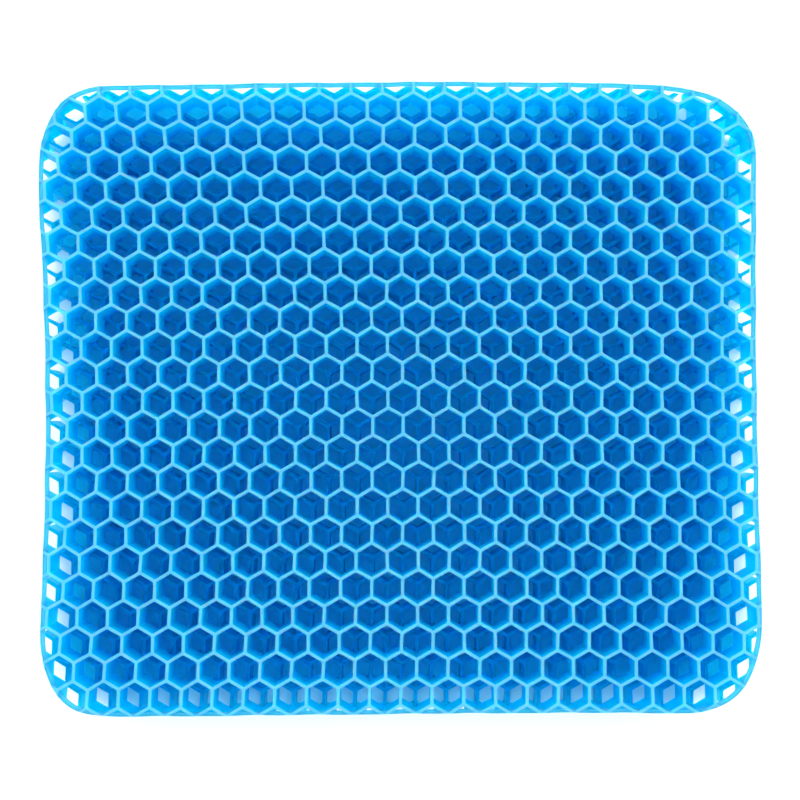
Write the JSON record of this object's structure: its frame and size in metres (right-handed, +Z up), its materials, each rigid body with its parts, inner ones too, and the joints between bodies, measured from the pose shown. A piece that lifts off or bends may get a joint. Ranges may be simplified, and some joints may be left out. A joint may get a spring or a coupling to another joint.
{
  "type": "seat cushion",
  "caption": "Flat rectangular gel seat cushion with rounded corners: stacked, offset honeycomb layers with open ribbed sides and a shallow top rim.",
  "frame": {"origin": "middle of the underside, where the pad rests on a chair's seat", "axes": "+X across the width, +Y towards the back edge, +Z up out of the seat surface"},
  "size_m": [0.42, 0.371, 0.04],
  "materials": {
    "upper_gel": "soft translucent blue gel, satin",
    "lower_gel": "soft translucent deep blue gel, satin",
    "rim_gel": "soft translucent teal blue gel, satin"
  },
  "bodies": {
    "root": {"upper_honeycomb": "upper_gel", "lower_honeycomb": "lower_gel", "top_rim": "rim_gel"}
  },
  "joints": []
}
